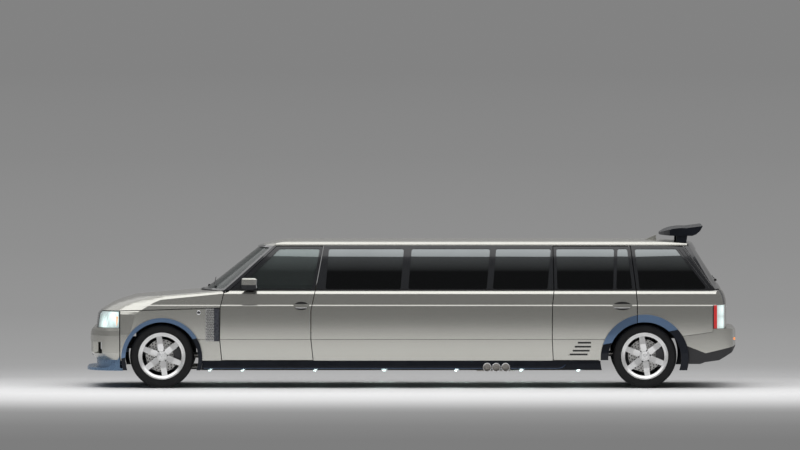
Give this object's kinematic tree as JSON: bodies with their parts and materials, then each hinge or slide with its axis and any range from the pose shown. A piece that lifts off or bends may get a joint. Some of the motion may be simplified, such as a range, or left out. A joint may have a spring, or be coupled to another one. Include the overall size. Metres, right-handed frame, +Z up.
{
  "type": "stretch limousine",
  "caption": "Stretched upright off-roader limousine with a wide-arch styling kit, opening doors, bonnet and split tailgate, steering and rolling wheels.",
  "frame": {"origin": "on the ground, halfway along the car and on its centre plane", "axes": "+X rearward along the car, +Y to the car's right, +Z up"},
  "size_m": [7.984, 2.192, 1.983],
  "materials": {
    "body_paint": "gloss",
    "gloss_black": "gloss",
    "matte_black": "matte",
    "dark_glass": "polished",
    "clear_glass": "polished",
    "lamp_lens": "polished",
    "tail_lens": "polished",
    "polished_wheel": "polished",
    "bright_trim": "polished",
    "tyre_rubber": "matte",
    "cast_metal": "matte",
    "pipe_steel": "brushed",
    "underbody": "matte",
    "cabin_trim": "matte",
    "seat_leather": "grained"
  },
  "bodies": {
    "root": {"floor_pan": "underbody", "front_structure": "underbody", "bulkhead": "underbody", "headlamp_carrier": "underbody", "engine_block": "cast_metal", "front_wings": "body_paint", "wing_vents": "bright_trim", "front_bumper": "body_paint", "front_splitter": "gloss_black", "front_grilles": "gloss_black", "headlamps": "lamp_lens", "scuttle_panel": "matte_black", "windscreen_frame": "gloss_black", "windscreen": "clear_glass", "roof_panel": "body_paint", "stretch_walls": "body_paint", "quarter_panels": "body_paint", "saloon_windows": "dark_glass", "side_skirts": "gloss_black", "skirt_lamps": "lamp_lens", "arch_flares": "gloss_black", "tail_lamps": "tail_lens", "rear_bumper": "body_paint", "rear_diffuser": "gloss_black", "roof_spoiler": "gloss_black", "front_suspension": "cast_metal", "rear_suspension": "cast_metal", "propshaft": "pipe_steel", "exhaust_system": "pipe_steel", "dashboard": "cabin_trim", "steering_wheel": "cabin_trim", "front_seats": "seat_leather", "cabin_partition": "cabin_trim", "lounge_seats": "seat_leather", "rear_bench": "seat_leather"},
    "bonnet": {"bonnet": "body_paint"},
    "upper_tailgate": {"upper_tailgate": "gloss_black", "tailgate_glass": "dark_glass"},
    "lower_tailgate": {"lower_tailgate": "body_paint"},
    "front_left_door": {"front_left_door": "body_paint", "front_left_door_glass": "clear_glass", "front_left_mirror": "body_paint"},
    "rear_left_door": {"rear_left_door": "body_paint", "rear_left_door_glass": "dark_glass"},
    "front_left_knuckle": {"front_left_knuckle": "cast_metal"},
    "front_left_wheel": {"front_left_wheel": "polished_wheel", "front_left_tyre": "tyre_rubber"},
    "rear_left_wheel": {"rear_left_wheel": "polished_wheel", "rear_left_tyre": "tyre_rubber"},
    "front_right_door": {"front_right_door": "body_paint", "front_right_door_glass": "clear_glass", "front_right_mirror": "body_paint"},
    "rear_right_door": {"rear_right_door": "body_paint", "rear_right_door_glass": "dark_glass"},
    "front_right_knuckle": {"front_right_knuckle": "cast_metal"},
    "front_right_wheel": {"front_right_wheel": "polished_wheel", "front_right_tyre": "tyre_rubber"},
    "rear_right_wheel": {"rear_right_wheel": "polished_wheel", "rear_right_tyre": "tyre_rubber"}
  },
  "joints": [
    {"name": "front_left_steer", "type": "hinge", "parent": "root", "child": "front_left_knuckle", "pos_m": [-3.064, -0.734, 0.244], "axis": [0, 0.1987, 0.9801], "range_deg": [-32, 32]},
    {"name": "front_left_spin", "type": "hinge", "parent": "front_left_knuckle", "child": "front_left_wheel", "pos_m": [-3.064, -0.8145, 0.3934], "axis": [0, -1, 0], "continuous": true},
    {"name": "rear_left_spin", "type": "hinge", "parent": "root", "child": "rear_left_wheel", "pos_m": [2.864, -0.8145, 0.3934], "axis": [0, -1, 0], "continuous": true},
    {"name": "front_left_door_swing", "type": "hinge", "parent": "root", "child": "front_left_door", "pos_m": [-2.271, -0.955, 0.83], "axis": [0, 0, -1], "range_deg": [0, 65]},
    {"name": "rear_left_door_swing", "type": "hinge", "parent": "root", "child": "rear_left_door", "pos_m": [1.812, -0.955, 0.83], "axis": [0, 0, -1], "range_deg": [0, 65]},
    {"name": "front_right_steer", "type": "hinge", "parent": "root", "child": "front_right_knuckle", "pos_m": [-3.064, 0.734, 0.244], "axis": [0, -0.1987, 0.9801], "range_deg": [-32, 32]},
    {"name": "front_right_spin", "type": "hinge", "parent": "front_right_knuckle", "child": "front_right_wheel", "pos_m": [-3.064, 0.8145, 0.3934], "axis": [0, -1, 0], "continuous": true},
    {"name": "rear_right_spin", "type": "hinge", "parent": "root", "child": "rear_right_wheel", "pos_m": [2.864, 0.8145, 0.3934], "axis": [0, -1, 0], "continuous": true},
    {"name": "front_right_door_swing", "type": "hinge", "parent": "root", "child": "front_right_door", "pos_m": [-2.271, 0.955, 0.83], "axis": [0, 0, 1], "range_deg": [0, 65]},
    {"name": "rear_right_door_swing", "type": "hinge", "parent": "root", "child": "rear_right_door", "pos_m": [1.812, 0.955, 0.83], "axis": [0, 0, 1], "range_deg": [0, 65]},
    {"name": "bonnet_lift", "type": "hinge", "parent": "root", "child": "bonnet", "pos_m": [-2.327, 0, 1.186], "axis": [0, 1, 0], "range_deg": [0, 55]},
    {"name": "upper_tailgate_lift", "type": "hinge", "parent": "root", "child": "upper_tailgate", "pos_m": [3.404, 0, 1.757], "axis": [0, -1, 0], "range_deg": [0, 70]},
    {"name": "lower_tailgate_drop", "type": "hinge", "parent": "root", "child": "lower_tailgate", "pos_m": [3.87, 0, 0.754], "axis": [0, 1, 0], "range_deg": [0, 90]}
  ],
  "couplings": [
    {"joint": "front_right_steer", "follows": "front_left_steer", "ratio": 1}
  ]
}
